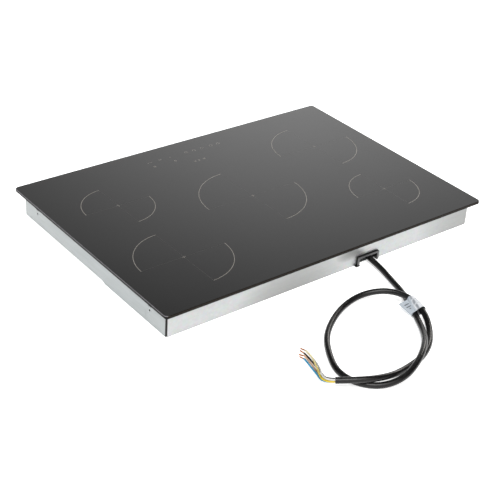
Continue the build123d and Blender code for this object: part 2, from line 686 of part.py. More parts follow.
def pan_screws():
    """The six identical screws: four hold the carrier plate and two hold the cable clamp."""
    y = CORD_ROUTE[0][1] + 7.5
    screws = [pan_screw(x, y, CARRIER_TOP) for x, y, _ in bracket_places()]
    return Compound(screws + [pan_screw(x, y, CLAMP_SCREW_LEVEL) for x in clamp_screw_places()])


# ---- free mains lead ----
def copper_ends():
    """Bare conductor standing out of each core's stripped end, bent a little to one side."""
    ends = []
    for name, route in CORE_ROUTES.items():
        before, end, tip = Vector(*route[-2]), Vector(*route[-1]), Vector(*COPPER_TIPS[name])
        start = end + (end - before).normalized() * COPPER_START
        bend = end + (end - before).normalized() * COPPER_STRAIGHT
        path = FilletPolyline(start, bend, tip, radius=COPPER_BEND_RADIUS)
        ends.append(sweep(Plane(origin=path @ 0, z_dir=path % 0) * Circle(COPPER_DIAMETER / 2), path=path))
    return Compound(ends)


def label_plane(distance):
    """Upright plane square to the label's length: local x runs across it and local y runs up."""
    along = Vector(*LABEL_AXIS).normalized()
    return Plane(origin=along * distance, x_dir=(along.Y, -along.X, 0), z_dir=(-along.X, -along.Y, 0))


def cord_label():
    """Flag label wrapped round both strands of the loop, with its flap towards the inside."""
    def wrap(radius):
        sections = []
        for distance, low, high, _, _ in LABEL_SECTIONS:
            circles = Pos(*low) * Circle(radius) + Pos(*high) * Circle(radius)
            sections.append(label_plane(distance) * make_hull(circles.edges()))
        return loft(sections, ruled=True)

    body = wrap(cord_radius + LABEL_GAP + LABEL_THICKNESS) - wrap(cord_radius + LABEL_GAP)
    flap_sections = []
    for distance, _, _, root, tip in LABEL_SECTIONS:
        corners = [root, tip, (tip[0], tip[1] + LABEL_THICKNESS), (root[0], root[1] + LABEL_THICKNESS)]
        flap_sections.append(label_plane(distance) * make_face(Polyline(*corners, close=True)))
    everything_lower = block((-90, 0), (370, 460), (-10, LABEL_LOWEST))
    return body + loft(flap_sections, ruled=True) - everything_lower


# ---- assembly ----
def build_parts():
    parts = {
        "glass_plate": glass_plate(),
        "glass_bead": glass_bead(),
        "seal_tape": seal_tape(),
        "base_pan": base_pan(),
        "cable_grommet": cable_grommet(),
        "carrier_plate": carrier_plate(),
        "carrier_brackets": carrier_brackets(),
        "temperature_sensors": temperature_sensors(),
        "coil_cushions": coil_cushions(),
        "coil_leads": coil_leads(),
        "power_transistors": power_transistors(),
        "film_capacitors": film_capacitors(),
        "board_standoffs": board_standoffs(),
        "filter_board": filter_board(),
        "filter_choke": filter_choke(),
        "control_board": control_board(),
        "control_carrier": control_carrier(),
        "touch_springs": touch_springs(),
        "display_module": display_module(),
        "terminal_block": terminal_block(),
        "terminal_screws": terminal_screws(),
        "terminal_wires": terminal_wires(),
        "cable_clamp": cable_clamp(),
        "pan_screws": pan_screws(),
        "power_cord": tube("power_cord", CORD_ROUTE, CORD_DIAMETER),
        "copper_ends": copper_ends(),
        "cord_label": cord_label(),
    }
    for zone in ZONES:
        parts[f"mica_disc_{zone}"] = mica_disc(zone)
        parts[f"coil_winding_{zone}"] = coil_winding(zone)
        parts[f"coil_former_{zone}"] = coil_former(zone)
        parts[f"coil_ferrites_{zone}"] = coil_ferrites(zone)
    for make in (power_board_right, heatsink_right, blower_housing_right, blower_rotor_right):
        right = make()
        parts[make.__name__] = right
        parts[make.__name__.replace("right", "left")] = mirrored_x(right)
    for name, route in CORE_ROUTES.items():
        parts[name] = tube(name, route, CORE_DIAMETER)
    return parts


for node, shape in build_parts().items():
    shape.label = node
    export_step(shape, f"parts/{node}.step")
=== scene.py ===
import json
import math

import bmesh
import bpy
from mathutils import Matrix, Vector


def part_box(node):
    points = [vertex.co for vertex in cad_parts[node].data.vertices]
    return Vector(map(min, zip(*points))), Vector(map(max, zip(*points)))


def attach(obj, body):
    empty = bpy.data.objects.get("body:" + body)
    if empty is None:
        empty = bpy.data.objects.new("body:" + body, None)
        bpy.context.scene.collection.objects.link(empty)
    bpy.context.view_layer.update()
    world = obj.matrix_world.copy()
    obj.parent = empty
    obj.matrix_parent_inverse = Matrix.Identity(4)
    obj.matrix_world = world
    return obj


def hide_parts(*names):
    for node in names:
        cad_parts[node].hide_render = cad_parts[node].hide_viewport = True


# Looks of the induction cooktop. The CAD nodes keep their shape and get procedural materials; the printed
# marks on the glass, the mains lead with its five cores and the bare copper strands are made here.
# Metres in Blender; values named in millimetres are multiplied by MM.

MM = 0.001
BODY = "appliance"

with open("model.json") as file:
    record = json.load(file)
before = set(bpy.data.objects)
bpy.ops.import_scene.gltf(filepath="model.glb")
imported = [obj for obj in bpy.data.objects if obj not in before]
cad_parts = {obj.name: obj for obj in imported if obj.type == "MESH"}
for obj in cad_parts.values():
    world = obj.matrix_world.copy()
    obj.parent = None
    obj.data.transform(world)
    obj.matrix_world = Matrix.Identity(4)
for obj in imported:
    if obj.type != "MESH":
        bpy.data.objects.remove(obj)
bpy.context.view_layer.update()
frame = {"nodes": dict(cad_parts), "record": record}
NODES = frame["nodes"]

glass_low, glass_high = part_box("glass_plate")
GLASS_TOP = glass_high[2]
WALL_X = 0.3624     # outer faces of the box's side and rear walls
WALL_Y = 0.2431

# ---- places of the printed marks, in millimetres ----
ZONES = {
    "front_right": (243.0, -96.0, 140.0),
    "rear_right": (243.0, 121.0, 180.0),
    "centre": (0.0, 6.5, 210.0),
    "front_left": (-243.0, -96.0, 180.0),
    "rear_left": (-243.0, 121.0, 140.0),
}
ARC_WIDTH = 1.25
CROSS_WIDTH = 0.8
HAIR_WIDTH = 0.45
CROSS_REACH = 4.0
PRINT_PROUD = 0.02
PRINT_SUNK = 0.04

# ---- mains lead: the same route as its CAD solid, in metres ----
CORD_DIAMETER = 0.011
CORD_ROUTE = [
    (-0.100, 0.222, 0.009), (-0.096, 0.247, 0.009), (-0.090, 0.285, 0.0085), (-0.081, 0.326, 0.0055),
    (-0.070, 0.367, 0.0055), (-0.0505, 0.4055, 0.0055), (-0.033, 0.443, 0.0055), (-0.0095, 0.4805, 0.009),
    (0.023, 0.514, 0.019), (0.063, 0.541, 0.019), (0.1075, 0.556, 0.0115), (0.149, 0.548, 0.0055),
    (0.179, 0.519, 0.0055), (0.186, 0.478, 0.0055), (0.165, 0.433, 0.0055), (0.136, 0.392, 0.0055),
    (0.094, 0.360, 0.0055), (0.047, 0.337, 0.006), (0.002, 0.334, 0.012), (-0.037, 0.356, 0.019),
    (-0.057, 0.3965, 0.019), (-0.0505, 0.4405, 0.013), (-0.031, 0.4735, 0.0055), (0.000, 0.505, 0.0055),
    (0.039, 0.526, 0.0055), (0.086, 0.534, 0.0055), (0.130, 0.541, 0.0135), (0.179, 0.530, 0.0195),
    (0.212, 0.502, 0.015),
]

# ---- the five cores: length, tip of the bare copper and route, in metres ----
CORE_DIAMETER = 0.0032
CORES = {
    "core_earth": (0.113, (0.1909, 0.3905, 0.0015), [
        (0.2138, 0.5042, 0.0141), (0.2205, 0.4985, 0.0131), (0.2240, 0.4895, 0.0123), (0.2235, 0.4790, 0.0117),
        (0.2155, 0.4655, 0.0107), (0.2085, 0.4520, 0.0094), (0.2015, 0.4380, 0.0082), (0.1955, 0.4250, 0.0070),
        (0.1922, 0.4135, 0.0055), (0.1895, 0.4025, 0.0040)]),
    "core_blue": (0.092, (0.2071, 0.4074, 0.0015), [
        (0.2120, 0.5020, 0.0120), (0.2180, 0.4970, 0.0108), (0.2220, 0.4890, 0.0088), (0.2235, 0.4790, 0.0074),
        (0.2180, 0.4645, 0.0062), (0.2135, 0.4500, 0.0040), (0.2095, 0.4380, 0.0020), (0.2065, 0.4270, 0.0020),
        (0.2050, 0.4170, 0.0020)]),
    "core_grey": (0.100, (0.1886, 0.4060, 0.0014), [
        (0.2134, 0.5032, 0.0173), (0.2195, 0.4980, 0.0166), (0.2230, 0.4890, 0.0158), (0.2210, 0.4795, 0.0150),
        (0.2120, 0.4670, 0.0120), (0.2040, 0.4535, 0.0077), (0.1965, 0.4395, 0.0038), (0.1920, 0.4275, 0.0019),
        (0.1900, 0.4160, 0.0019)]),
    "core_black": (0.104, (0.1952, 0.3945, 0.0015), [
        (0.2112, 0.5004, 0.0173), (0.2165, 0.4960, 0.0165), (0.2195, 0.4885, 0.0150), (0.2180, 0.4805, 0.0124),
        (0.2105, 0.4675, 0.0080), (0.2050, 0.4530, 0.0038), (0.2007, 0.4380, 0.0023), (0.1970, 0.4215, 0.0020),
        (0.1949, 0.4055, 0.0020)]),
    "core_brown": (0.097, (0.2044, 0.4024, 0.0015), [
        (0.2102, 0.4998, 0.0141), (0.2155, 0.4955, 0.0130), (0.2185, 0.4885, 0.0110), (0.2193, 0.4800, 0.0085),
        (0.2140, 0.4660, 0.0048), (0.2090, 0.4515, 0.0023), (0.2048, 0.4370, 0.0020), (0.2014, 0.4235, 0.0020),
        (0.1989, 0.4105, 0.0020)]),
}
STRAND_DIAMETER = 0.00072
STRAND_COUNT = 7
STRAND_STEPS = 14
STRAND_TWIST = 230.0

# ---- studio ----
PANEL_SIDE = (-0.7559, 0.6547)
PANEL_HEIGHT, PANEL_SPREAD = 0.39, 0.152
PANEL_WIDTH = 0.242
PANEL_STRENGTH = 1.58
HORIZON_SPREAD, HORIZON_STRENGTH = 0.16, 0.6
ROOM_STRENGTH = 0.08

# ---- the label's own directions in the row frame: along its length and across it ----
LABEL_ALONG = (0.300, 0.954)


# ---- camera, light and floor ----
def add_camera():
    """Long lens behind the rear right corner, looking down and rolled a few degrees."""
    azimuth, elevation, roll = math.radians(140.45), math.radians(31.31), 0.0684
    distance = 2.2824
    target = Vector((0.0688, 0.0927, 0.0))
    back = Vector((math.sin(azimuth) * math.cos(elevation), -math.cos(azimuth) * math.cos(elevation),
                   math.sin(elevation)))
    right = Vector((0, 0, 1)).cross(back).normalized()
    up = back.cross(right)
    level_right, level_up = right, up
    right = level_right * math.cos(roll) + level_up * math.sin(roll)
    up = level_up * math.cos(roll) - level_right * math.sin(roll)
    data = bpy.data.cameras.new("camera")
    data.lens = 86.8
    data.sensor_width = 36.0
    camera = bpy.data.objects.new("camera", data)
    turn = Matrix((right, up, back)).transposed().to_4x4()
    camera.matrix_world = Matrix.Translation(target + back * distance) @ turn
    bpy.context.collection.objects.link(camera)
    bpy.context.scene.camera = camera


def add_sun(name, towards, strength, angle, colour):
    """Broad soft light from far away: the direction it comes from, its strength and its width in degrees."""
    data = bpy.data.lights.new(name, "SUN")
    data.energy = strength
    data.angle = math.radians(angle)
    data.color = colour
    light = bpy.data.objects.new(name, data)
    light.rotation_euler = Vector(towards).to_track_quat("Z", "Y").to_euler()
    bpy.context.collection.objects.link(light)


def add_world():
    """Studio surround: a dim room, a glow round the horizon and one tall soft panel seen in the glass."""
    world = bpy.data.worlds.new("studio")
    world.use_nodes = True
    tree = world.node_tree
    place = tree.nodes.new("ShaderNodeTexCoord")
    split = tree.nodes.new("ShaderNodeSeparateXYZ")
    tree.links.new(place.outputs["Generated"], split.inputs[0])

    def math_node(operation, first, second):
        node = tree.nodes.new("ShaderNodeMath")
        node.operation = operation
        for index, value in enumerate((first, second)):
            if isinstance(value, bpy.types.NodeSocket):
                tree.links.new(value, node.inputs[index])
            else:
                node.inputs[index].default_value = value
        return node.outputs[0]

    def bell(value, width):
        """1 in the middle, falling smoothly to nothing on both sides."""
        square = math_node("POWER", math_node("DIVIDE", value, width), 2.0)
        return math_node("POWER", math.e, math_node("MULTIPLY", square, -1.0))

    across = math_node("ADD", math_node("MULTIPLY", split.outputs["X"], PANEL_SIDE[0]),
                       math_node("MULTIPLY", split.outputs["Y"], PANEL_SIDE[1]))
    above = math_node("MAXIMUM", math_node("SUBTRACT", split.outputs["Z"], PANEL_HEIGHT), 0.0)
    panel = math_node("MULTIPLY", bell(above, PANEL_SPREAD), bell(across, PANEL_WIDTH))
    horizon = bell(math_node("MAXIMUM", split.outputs["Z"], 0.0), HORIZON_SPREAD)
    light = math_node("ADD", math_node("MULTIPLY", panel, PANEL_STRENGTH),
                      math_node("MULTIPLY", horizon, HORIZON_STRENGTH))
    light = math_node("ADD", light, ROOM_STRENGTH)
    background = tree.nodes["Background"]
    tree.links.new(light, background.inputs["Strength"])
    background.inputs["Color"].default_value = (1.0, 1.0, 1.0, 1)
    bpy.context.scene.world = world


def add_floor():
    """Plain white floor just under the object."""
    bpy.ops.mesh.primitive_plane_add(size=80.0, location=(0, 0, -0.0004))
    floor = bpy.context.object
    floor.name = "floor"
    paint = bpy.data.materials.new("floor_white")
    paint.use_nodes = True
    shader = paint.node_tree.nodes["Principled BSDF"]
    shader.inputs["Base Color"].default_value = (0.90, 0.90, 0.90, 1)
    shader.inputs["Roughness"].default_value = 0.9
    shader.inputs["Specular IOR Level"].default_value = 0.1
    shader.inputs["Emission Color"].default_value = (1, 1, 1, 1)
    shader.inputs["Emission Strength"].default_value = 0.60
    floor.data.materials.append(paint)


# ---- materials ----
class Finish:
    """A Principled material whose textures are laid out in the row frame, so their scale is real."""

    def __init__(self, name, colour, roughness, metallic=0.0):
        self.material = bpy.data.materials.new(name)
        self.material.use_nodes = True
        self.tree = self.material.node_tree
        self.shader = self.tree.nodes["Principled BSDF"]
        self.colour = (*colour, 1.0)
        self.shader.inputs["Base Color"].default_value = self.colour
        self.shader.inputs["Roughness"].default_value = roughness
        self.shader.inputs["Metallic"].default_value = metallic
        self.coordinates = self.tree.nodes.new("ShaderNodeTexCoord")

    def set(self, **values):
        for name, value in values.items():
            self.shader.inputs[name.replace("_", " ")].default_value = value
        return self

    def place(self, stretch=(1, 1, 1), output="Object"):
        mapping = self.tree.nodes.new("ShaderNodeMapping")
        mapping.inputs["Scale"].default_value = stretch
        self.tree.links.new(self.coordinates.outputs[output], mapping.inputs["Vector"])
        return mapping.outputs["Vector"]

    def noise(self, size_mm, detail=3.0, stretch=(1, 1, 1), rough=0.55):
        texture = self.tree.nodes.new("ShaderNodeTexNoise")
        texture.inputs["Scale"].default_value = 1.0 / (size_mm * MM)
        texture.inputs["Detail"].default_value = detail
        texture.inputs["Roughness"].default_value = rough
        self.tree.links.new(self.place(stretch), texture.inputs["Vector"])
        return texture.outputs["Fac"]

    def cells(self, size_mm):
        texture = self.tree.nodes.new("ShaderNodeTexVoronoi")
        texture.inputs["Scale"].default_value = 1.0 / (size_mm * MM)
        self.tree.links.new(self.place(), texture.inputs["Vector"])
        return texture.outputs["Color"]

    def remap(self, socket, from_low, from_high, to_low, to_high):
        mapping = self.tree.nodes.new("ShaderNodeMapRange")
        values = (from_low, from_high, to_low, to_high)
        for name, value in zip(("From Min", "From Max", "To Min", "To Max"), values):
            mapping.inputs[name].default_value = value
        self.tree.links.new(socket, mapping.inputs["Value"])
        return mapping.outputs["Result"]

    def mix(self, factor, first, second):
        """Colour between two, each a colour or a socket, by a socket or a number."""
        node = self.tree.nodes.new("ShaderNodeMix")
        node.data_type = "RGBA"
        for index, value in ((0, factor), (6, first), (7, second)):
            if isinstance(value, bpy.types.NodeSocket):
                self.tree.links.new(value, node.inputs[index])
            else:
                node.inputs[index].default_value = value
        return node.outputs[2]

    def math(self, operation, first, second=0.0):
        node = self.tree.nodes.new("ShaderNodeMath")
        node.operation = operation
        for index, value in enumerate((first, second)):
            if isinstance(value, bpy.types.NodeSocket):
                self.tree.links.new(value, node.inputs[index])
            else:
                node.inputs[index].default_value = value
        return node.outputs[0]

    def axes(self, source="place"):
        """The x, y and z of a point in the row frame in metres, or of its surface normal."""
        split = self.tree.nodes.new("ShaderNodeSeparateXYZ")
        if source == "place":
            self.tree.links.new(self.place(), split.inputs[0])
        else:
            geometry = self.tree.nodes.new("ShaderNodeNewGeometry")
            self.tree.links.new(geometry.outputs["Normal"], split.inputs[0])
        return split.outputs

    def paint(self, socket):
        self.tree.links.new(socket, self.shader.inputs["Base Color"])
        return self

    def mottle(self, amount, size_mm, stretch=(1, 1, 1)):
        """Soft light and dark patches in the base colour."""
        dark = tuple(c * (1 - amount) for c in self.colour[:3]) + (1,)
        light = tuple(min(1, c * (1 + amount)) for c in self.colour[:3]) + (1,)
        return self.paint(self.mix(self.remap(self.noise(size_mm, 4.0, stretch), 0.3, 0.7, 0, 1), dark, light))

    def vary_roughness(self, low, high, size_mm, stretch=(1, 1, 1)):
        socket = self.remap(self.noise(size_mm, 3.0, stretch), 0.3, 0.7, low, high)
        self.tree.links.new(socket, self.shader.inputs["Roughness"])
        return self

    def bump(self, socket, depth_mm, strength=1.0):
        node = self.tree.nodes.new("ShaderNodeBump")
        node.inputs["Strength"].default_value = strength
        node.inputs["Distance"].default_value = depth_mm * MM
        self.tree.links.new(socket, node.inputs["Height"])
        self.tree.links.new(node.outputs["Normal"], self.shader.inputs["Normal"])
        return self

    def grain(self, depth_mm, size_mm, stretch=(1, 1, 1), strength=1.0):
        return self.bump(self.noise(size_mm, 2.0, stretch), depth_mm, strength)


def plastic(name, colour, roughness=0.45, grain_mm=0.02):
    finish = Finish(name, colour, roughness)
    finish.mottle(0.10, 14.0).vary_roughness(roughness - 0.06, roughness + 0.08, 6.0)
    return finish.grain(grain_mm, 0.7).material


def rubber(name, colour, roughness=0.55):
    finish = Finish(name, colour, roughness).mottle(0.14, 9.0)
    finish.vary_roughness(roughness - 0.08, roughness + 0.08, 4.0)
    return finish.grain(0.02, 0.5).set(Specular_IOR_Level=0.4).material


def bare_metal(name, colour, roughness=0.35, stretch=(1, 12, 12)):
    finish = Finish(name, colour, roughness, 1.0).mottle(0.06, 30.0)
    finish.vary_roughness(roughness - 0.08, roughness + 0.10, 2.0, stretch)
    return finish.grain(0.01, 0.6, stretch).material


def trim_material():
    """Black plastic: the flat outer face is painted a lighter satin grey as a highlight, the other faces a
    darker black as shade.
    """
    finish = Finish("trim_plastic", (0.03, 0.03, 0.03), 0.40)
    # Painted highlight and shade: faces turned towards +Y get a lighter grey, all other faces a darker black.
    face = finish.remap(finish.axes("normal")["Y"], 0.60, 0.95, 0.0, 1.0)
    painted_face_highlight = finish.mix(finish.noise(5.0), (0.075, 0.075, 0.078, 1), (0.11, 0.11, 0.112, 1))
    finish.paint(finish.mix(face, (0.006, 0.006, 0.006, 1), painted_face_highlight))
    return finish.grain(0.02, 0.7).set(Specular_IOR_Level=0.25).material


def glass_material():
    """Black glass-ceramic: smooth top, satin ground edges that are brown at the back, and along the upper part
    of the side edges a pale painted highlight."""
    finish = Finish("black_glass_ceramic", (0.006, 0.006, 0.006), 0.10)
    finish.set(IOR=1.5)
    normal = finish.axes("normal")
    upright = finish.math("ABSOLUTE", normal["Z"])
    edge = finish.remap(upright, 0.80, 0.60, 0.0, 1.0)
    speck = finish.noise(1.2, 4.0)
    rear_edge = finish.mix(speck, (0.006, 0.004, 0.002, 1), (0.016, 0.011, 0.006, 1))
    # Painted highlight: a pale line along the upper part of the side edges, the rest of those edges near black.
    painted_highlight = finish.mix(speck, (0.15, 0.145, 0.155, 1), (0.23, 0.22, 0.235, 1))
    upper = finish.remap(finish.axes()["Z"], GLASS_TOP - 1.6 * MM, GLASS_TOP - 1.1 * MM, 0.0, 1.0)
    sideways = finish.math("GREATER_THAN", finish.math("ABSOLUTE", normal["X"]), 0.5)
    lit = finish.math("MULTIPLY", upper, sideways)
    side_edge = finish.mix(lit, (0.004, 0.004, 0.004, 1), painted_highlight)
    ground_edge = finish.mix(sideways, rear_edge, side_edge)
    cloud = finish.mix(finish.noise(160.0, 2.0), (0.0030, 0.0030, 0.0032, 1), (0.0042, 0.0040, 0.0038, 1))
    finish.paint(finish.mix(edge, cloud, ground_edge))
    smooth = finish.remap(finish.noise(90.0, 3.0), 0.3, 0.7, 0.09, 0.13)
    roughness = finish.math("ADD", smooth, finish.math("MULTIPLY", edge, 0.22))
    finish.tree.links.new(roughness, finish.shader.inputs["Roughness"])
    shine = finish.remap(edge, 0.0, 1.0, 0.5, 0.08)
    finish.tree.links.new(shine, finish.shader.inputs["Specular IOR Level"])
    return finish.material


def sheet_material():
    """Galvanised sheet steel: faint spangle, lengthwise mill grain, side walls painted darker as shade, soft
    handling smudges on the rear wall with a patch of painted shade towards -X, and painted shade in the open
    corner slit."""
    finish = Finish("galvanised_sheet", (0.44, 0.452, 0.452), 0.42, 0.85)
    # Painted shade: faces turned towards +X or -X get a darker copy of the sheet colour.
    sideways = finish.remap(finish.math("ABSOLUTE", finish.axes("normal")["X"]), 0.6, 0.9, 0.0, 1.0)
    spangle = finish.mix(0.05, (0.425, 0.437, 0.44, 1), finish.cells(5.0))
    cloud = finish.remap(finish.noise(120.0, 3.0, (0.35, 0.35, 1.6)), 0.35, 0.65, 0.0, 0.35)
    shaded = finish.mix(cloud, spangle, (0.50, 0.508, 0.505, 1))
    shaded = finish.mix(sideways, shaded, finish.mix(cloud, (0.315, 0.334, 0.338, 1), (0.385, 0.397, 0.390, 1)))
    place = finish.axes()
    smudge_and_shade = None
    # Darker patches on the rear wall: the two towards the middle are handling smudges, the one towards -X is
    # painted shade.
    for centre_x, centre_z, reach in ((0.090, 0.004, 0.130), (-0.390, 0.020, 0.170), (-0.045, 0.030, 0.035)):
        across = finish.math("DIVIDE", finish.math("SUBTRACT", place["X"], centre_x), reach)
        along = finish.math("DIVIDE", finish.math("SUBTRACT", place["Z"], centre_z), 0.4 * reach)
        spread = finish.math("ADD", finish.math("POWER", across, 2.0), finish.math("POWER", along, 2.0))
        spot = finish.remap(spread, 0.0, 1.0, 1.0, 0.0)
        smudge_and_shade = spot if smudge_and_shade is None else finish.math("MAXIMUM", smudge_and_shade, spot)
    rear = finish.remap(place["Y"], WALL_Y - 0.6 * MM, WALL_Y - 0.1 * MM, 0.0, 0.9)
    shaded = finish.mix(finish.math("MULTIPLY", smudge_and_shade, rear), shaded, (0.26, 0.265, 0.26, 1))
    # Painted shade: the flange seen through the open corner slit is painted near black.
    slit_shade = finish.math("MULTIPLY", finish.remap(place["X"], WALL_X - 3.6 * MM, WALL_X - 2.4 * MM, 0.0, 1.0),
                       finish.remap(place["Y"], WALL_Y - 4.1 * MM, WALL_Y - 2.7 * MM, 0.0, 1.0))
    finish.paint(finish.mix(slit_shade, shaded, (0.012, 0.010, 0.009, 1)))
    finish.vary_roughness(0.34, 0.48, 3.0, (0.06, 0.06, 1))
    return finish.grain(0.012, 0.9, (0.05, 0.05, 1)).material


def print_material():
    """Warm grey ceramic ink."""
    finish = Finish("ceramic_ink", (0.17, 0.155, 0.14), 0.42).mottle(0.10, 20.0)
    return finish.grain(0.003, 0.3).material


def hair_material():
    """The same ink in hair lines, printed thinner."""
    finish = Finish("ceramic_ink_thin", (0.030, 0.027, 0.024), 0.35).mottle(0.12, 25.0)
    return finish.grain(0.003, 0.3).material


def sheath_material():
    """Black lead sheath, faintly glossy."""
    finish = Finish("cord_sheath", (0.0045, 0.0043, 0.0043), 0.30).mottle(0.25, 18.0)
    finish.vary_roughness(0.24, 0.36, 7.0)
    return finish.grain(0.012, 0.5).set(Specular_IOR_Level=0.28).material


def earth_material():
    """Yellow sleeve with one green stripe along it, set round the sleeve's own length, with a painted highlight
    that makes it paler at its end.
    """
    finish = Finish("sleeve_green_yellow", (0.70, 0.54, 0.03), 0.38)
    split = finish.tree.nodes.new("ShaderNodeSeparateXYZ")
    finish.tree.links.new(finish.coordinates.outputs["UV"], split.inputs[0])
    around = finish.math("FRACT", finish.math("ADD", split.outputs["Y"], 0.65))
    stripe = finish.math("LESS_THAN", around, 0.28)
    # Painted highlight: the sleeve turns pale towards its end.
    painted_highlight = finish.remap(finish.axes()["Y"], 0.475, 0.425, 0.0, 0.8)
    yellow = finish.mix(painted_highlight, (0.50, 0.36, 0.012, 1), (0.62, 0.57, 0.38, 1))
    finish.paint(finish.mix(stripe, yellow, (0.10, 0.26, 0.04, 1)))
    return finish.grain(0.01, 0.5).material


def brown_material():
    """Brown sleeve with a painted highlight: paler towards its end."""
    finish = Finish("sleeve_brown", (0.15, 0.055, 0.025), 0.38)
    # Painted highlight: the sleeve turns pale peach towards its end.
    painted_highlight = finish.remap(finish.axes()["Y"], 0.470, 0.440, 0.0, 0.9)
    finish.paint(finish.mix(painted_highlight, (0.10, 0.040, 0.022, 1), (0.60, 0.39, 0.26, 1)))
    return finish.grain(0.02, 0.5).material


def label_material():
    """Coated paper: white and crinkled over the two strands with painted shade in its folds and creases, the
    flap painted grey as shade, with generic dark bars.
    """
    finish = Finish("label_paper", (0.60, 0.64, 0.71), 0.5)
    place = finish.axes()
    east, north = LABEL_ALONG
    along = finish.math("ADD", finish.math("MULTIPLY", place["X"], east),
                        finish.math("MULTIPLY", place["Y"], north))
    across = finish.math("SUBTRACT", finish.math("MULTIPLY", place["X"], north),
                         finish.math("MULTIPLY", place["Y"], east))

    def within(value, low, high, soft=0.3):
        """1 between two places in millimetres, with soft ends."""
        rise = finish.remap(value, (low - soft) * MM, (low + soft) * MM, 0.0, 1.0)
        fall = finish.remap(value, (high - soft) * MM, (high + soft) * MM, 1.0, 0.0)
        return finish.math("MULTIPLY", rise, fall)

    fibre = finish.remap(finish.noise(5.0, 3.0), 0.35, 0.65, 0.0, 1.0)
    # Painted shade: the flap is the same paper in a darker grey.
    flap_shade = finish.mix(fibre, (0.36, 0.395, 0.435, 1), (0.41, 0.445, 0.485, 1))
    top = finish.mix(fibre, (0.50, 0.515, 0.54, 1), (0.60, 0.61, 0.63, 1))
    paper = finish.mix(within(across, -167.8, -120.0), top, flap_shade)
    # Painted shade in the folds, dents and creases of the crinkled paper, and along the fold line of the flap.
    fold_shade = None
    for low, high, start, end in ((364.0, 372.6, -171.0, -167.6), (374.6, 383.0, -172.4, -168.8),
                                  (385.6, 397.0, -173.2, -169.8)):
        dent_shade = finish.math("MULTIPLY", within(along, low, high, 0.8), within(across, start, end, 0.8))
        dent_shade = finish.math("MULTIPLY", dent_shade, 0.7)
        fold_shade = dent_shade if fold_shade is None else finish.math("MAXIMUM", fold_shade, dent_shade)
    for low, high in ((373.0, 374.2), (384.0, 385.0)):
        crease_shade = finish.math("MULTIPLY", within(along, low, high), within(across, -190.0, -169.0))
        fold_shade = finish.math("MAXIMUM", fold_shade, finish.math("MULTIPLY", crease_shade, 0.45))
    fold_shade = finish.math("MAXIMUM", fold_shade, finish.math("MULTIPLY", within(across, -165.6, -165.0), 0.35))
    paper = finish.mix(fold_shade, paper, (0.10, 0.11, 0.13, 1))
    bars = None
    for low, high, start, end in ((372.9, 375.3, -163.5, -155.5), (379.2, 381.6, -164.5, -156.5),
                                  (384.8, 387.0, -162.5, -159.8)):
        bar = finish.math("MULTIPLY", within(along, low, high), within(across, start, end))
        bars = bar if bars is None else finish.math("MAXIMUM", bars, bar)
    finish.paint(finish.mix(finish.math("MULTIPLY", bars, 0.85), paper, (0.05, 0.05, 0.06, 1)))
    return finish.bump(fibre, 0.2, 0.5).material


def mica_material():
    """Pale brown insulating disc with flakes."""
    finish = Finish("mica_sheet", (0.52, 0.44, 0.30), 0.6)
    flakes = finish.mix(0.3, (0.52, 0.44, 0.30, 1), finish.cells(3.0))
    return finish.paint(flakes).grain(0.03, 1.0).material


def winding_material():
    """Twisted copper strand under clear enamel."""
    finish = Finish("litz_copper", (0.52, 0.23, 0.10), 0.36, 0.9)
    strands = finish.noise(1.4, 2.0)
    finish.paint(finish.mix(strands, (0.30, 0.12, 0.05, 1), (0.72, 0.36, 0.18, 1)))
    return finish.bump(strands, 0.3).material


def board_material():
    """Green solder resist with copper tracks under it."""
    finish = Finish("circuit_board", (0.015, 0.10, 0.04), 0.4)
    bricks = finish.tree.nodes.new("ShaderNodeTexBrick")
    bricks.inputs["Scale"].default_value = 60.0
    bricks.inputs["Mortar Size"].default_value = 0.06
    bricks.inputs["Color1"].default_value = (0.015, 0.11, 0.045, 1)
    bricks.inputs["Color2"].default_value = (0.018, 0.13, 0.05, 1)
    bricks.inputs["Mortar"].default_value = (0.03, 0.20, 0.08, 1)
    finish.tree.links.new(finish.place(), bricks.inputs["Vector"])
    return finish.paint(bricks.outputs["Color"]).grain(0.03, 2.0).material


def ferrite_material():
    finish = Finish("ferrite", (0.035, 0.035, 0.038), 0.6).mottle(0.25, 3.0)
    return finish.grain(0.05, 0.8).material


def woven_sleeve_material():
    """Braided glass-fibre sleeve over the coil leads."""
    finish = Finish("lead_sleeve", (0.70, 0.66, 0.56), 0.75)
    weave = finish.noise(0.6, 1.0, (1, 1, 0.6))
    finish.paint(finish.mix(weave, (0.52, 0.48, 0.38, 1), (0.82, 0.79, 0.70, 1)))
    return finish.bump(weave, 0.2).material


